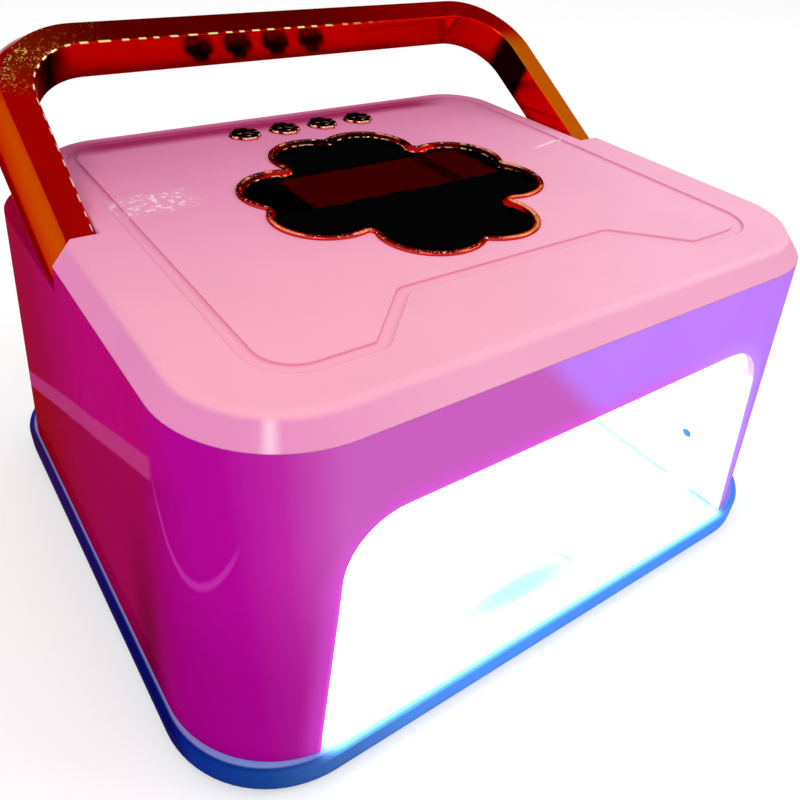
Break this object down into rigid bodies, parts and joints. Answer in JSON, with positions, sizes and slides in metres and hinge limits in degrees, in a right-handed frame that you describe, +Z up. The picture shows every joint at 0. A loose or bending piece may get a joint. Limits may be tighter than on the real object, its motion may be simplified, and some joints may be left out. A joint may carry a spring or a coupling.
{
  "type": "uv led nail lamp",
  "caption": "Box-shaped countertop UV LED nail lamp with a rosette display window, push buttons, an arched hand opening and a folding carrying bail.",
  "frame": {"origin": "on the surface that the lamp stands on, under the middle of its base", "axes": "+Z up, +Y towards the rear, +X to the right of someone facing the hand opening"},
  "size_m": [0.23, 0.204, 0.15],
  "materials": {
    "shell_pink": "glossy magenta metallised lacquer",
    "cover_pink": "glossy pale pink pearl lacquer",
    "base_plastic": "glossy, takes the blue of the light",
    "reflector_white": "white reflecting liner",
    "rose_gold": "rose-gold plating",
    "bail_plating": "mirror rose-gold plating on plastic",
    "button_plating": "black face with a rose-gold skirt",
    "black_lens": "smoked gloss lens",
    "display_black": "black",
    "circuit_board": "green solder mask",
    "aluminium_board": "white-coated aluminium core",
    "led_lens": "clear lens, faint violet",
    "sensor_dark": "infrared lens",
    "ribbon_white": "white flat cable",
    "bush_white": "acetal",
    "steel": "zinc plated",
    "magnet_plating": "nickel plated",
    "foot_rubber": "matte black"
  },
  "bodies": {
    "base": {"base_tray": "base_plastic", "tray_magnets": "magnet_plating", "foot_front_left": "foot_rubber", "foot_rear_left": "foot_rubber", "foot_front_right": "foot_rubber", "foot_rear_right": "foot_rubber"},
    "housing": {"outer_shell": "shell_pink", "top_cover": "cover_pink", "reflector_liner": "reflector_white", "window_bezel": "rose_gold", "window_lens": "black_lens", "display_board": "circuit_board", "display_digits": "display_black", "tact_switches": "display_black", "button_board": "circuit_board", "button_board_screws": "steel", "liner_screws": "steel", "cover_screws": "steel", "ceiling_led_board": "aluminium_board", "ceiling_leds": "led_lens", "rear_led_board": "aluminium_board", "rear_leds": "led_lens", "main_board": "circuit_board", "main_board_screws": "steel", "dc_jack": "display_black", "rear_ribbon": "ribbon_white", "button_ribbon": "ribbon_white", "housing_magnets": "magnet_plating", "left_led_board": "aluminium_board", "left_leds": "led_lens", "left_hand_sensor": "sensor_dark", "left_ribbon": "ribbon_white", "left_pivot_bush": "bush_white", "right_led_board": "aluminium_board", "right_leds": "led_lens", "right_hand_sensor": "sensor_dark", "right_ribbon": "ribbon_white", "right_pivot_bush": "bush_white"},
    "bail": {"handle": "bail_plating", "left_pivot_pin": "steel", "right_pivot_pin": "steel", "left_friction_washer": "steel", "right_friction_washer": "steel"},
    "button_1": {"button_cap_1": "button_plating", "switch_plunger_1": "display_black"},
    "button_2": {"button_cap_2": "button_plating", "switch_plunger_2": "display_black"},
    "button_3": {"button_cap_3": "button_plating", "switch_plunger_3": "display_black"},
    "button_4": {"button_cap_4": "button_plating", "switch_plunger_4": "display_black"}
  },
  "joints": [
    {"name": "housing_lift", "type": "slide", "parent": "base", "child": "housing", "axis": [0, 0, 1], "range_m": [0, 0.06]},
    {"name": "bail_hinge", "type": "hinge", "parent": "housing", "child": "bail", "pos_m": [0, 0.0136, 0.1061], "axis": [1, 0, 0], "range_deg": [-31, 59]},
    {"name": "button_1_press", "type": "slide", "parent": "housing", "child": "button_1", "axis": [0, 0, 1], "range_m": [-0.0006, 0], "stiffness_N_per_m": 1500, "springref_m": 0.0005},
    {"name": "button_2_press", "type": "slide", "parent": "housing", "child": "button_2", "axis": [0, 0, 1], "range_m": [-0.0006, 0], "stiffness_N_per_m": 1500, "springref_m": 0.0005},
    {"name": "button_3_press", "type": "slide", "parent": "housing", "child": "button_3", "axis": [0, 0, 1], "range_m": [-0.0006, 0], "stiffness_N_per_m": 1500, "springref_m": 0.0005},
    {"name": "button_4_press", "type": "slide", "parent": "housing", "child": "button_4", "axis": [0, 0, 1], "range_m": [-0.0006, 0], "stiffness_N_per_m": 1500, "springref_m": 0.0005}
  ]
}
